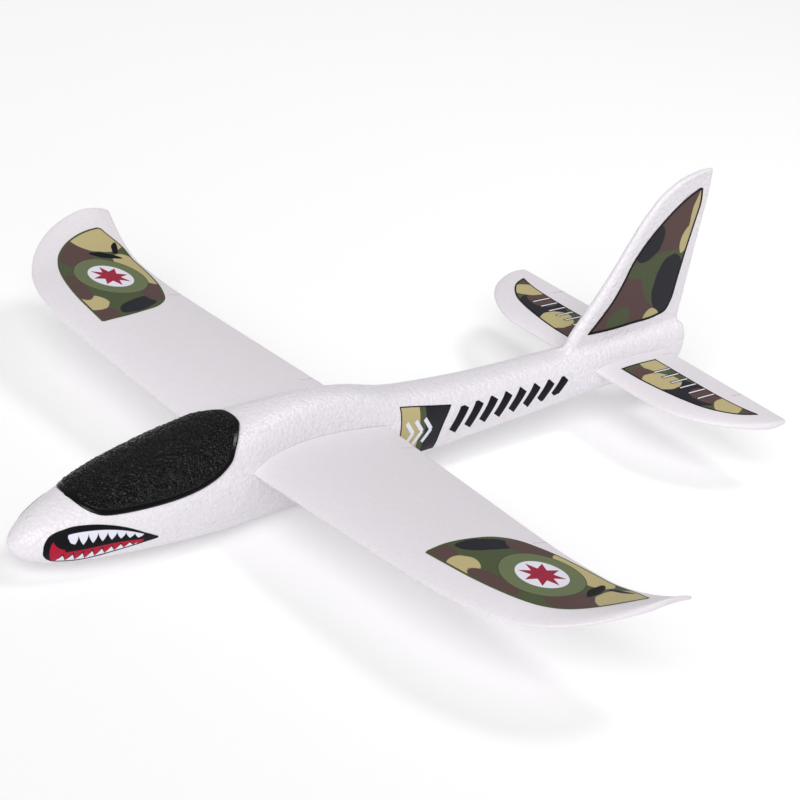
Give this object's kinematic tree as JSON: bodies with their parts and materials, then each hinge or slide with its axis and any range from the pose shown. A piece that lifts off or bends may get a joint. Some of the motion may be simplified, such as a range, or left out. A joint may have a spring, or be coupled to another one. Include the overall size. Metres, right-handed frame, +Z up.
{
  "type": "toy glider airplane",
  "caption": "Hand-launched foam toy glider with a plug-through wing and tailplane, a black foam canopy, a ballasted nose, printed camouflage films and bendable trim tabs.",
  "frame": {"origin": "centre of the box around the airplane in plan, at the height of the flat belly strip that it rests on", "axes": "+X towards the port (left) wing tip, -Y towards the nose, +Z up"},
  "size_m": [0.48, 0.48, 0.1535],
  "materials": {
    "white_foam": "satin",
    "black_foam": "satin",
    "ballast_steel": "satin",
    "camouflage_film": "satin",
    "mouth_film": "satin",
    "stripe_film": "satin"
  },
  "bodies": {
    "root": {"fuselage": "white_foam", "canopy": "black_foam", "nose_ballast": "ballast_steel", "wing": "white_foam", "tailplane": "white_foam", "left_mouth_film": "mouth_film", "right_mouth_film": "mouth_film", "left_boom_panel_film": "camouflage_film", "right_boom_panel_film": "camouflage_film", "left_boom_stripe_film": "stripe_film", "right_boom_stripe_film": "stripe_film", "left_fin_film": "camouflage_film", "right_fin_film": "camouflage_film", "left_wing_film": "camouflage_film", "right_wing_film": "camouflage_film", "left_tailplane_film": "camouflage_film", "right_tailplane_film": "camouflage_film"},
    "left_flap": {"left_flap": "white_foam"},
    "right_flap": {"right_flap": "white_foam"},
    "left_elevator": {"left_elevator": "white_foam"},
    "right_elevator": {"right_elevator": "white_foam"}
  },
  "joints": [
    {"name": "left_flap_bend", "type": "hinge", "parent": "root", "child": "left_flap", "pos_m": [0.042, -0.02624, 0.04481], "axis": [0.9946, -0.0958, 0.04], "range_deg": [-25, 25]},
    {"name": "right_flap_bend", "type": "hinge", "parent": "root", "child": "right_flap", "pos_m": [-0.042, -0.02624, 0.04481], "axis": [0.9946, 0.0958, -0.04], "range_deg": [-25, 25]},
    {"name": "left_elevator_bend", "type": "hinge", "parent": "root", "child": "left_elevator", "pos_m": [0.0175, 0.20779, 0.04323], "axis": [0.9999, -0.012, -0.0012], "range_deg": [-25, 25]},
    {"name": "right_elevator_bend", "type": "hinge", "parent": "root", "child": "right_elevator", "pos_m": [-0.0175, 0.20779, 0.04323], "axis": [0.9999, 0.012, 0.0012], "range_deg": [-25, 25]}
  ]
}
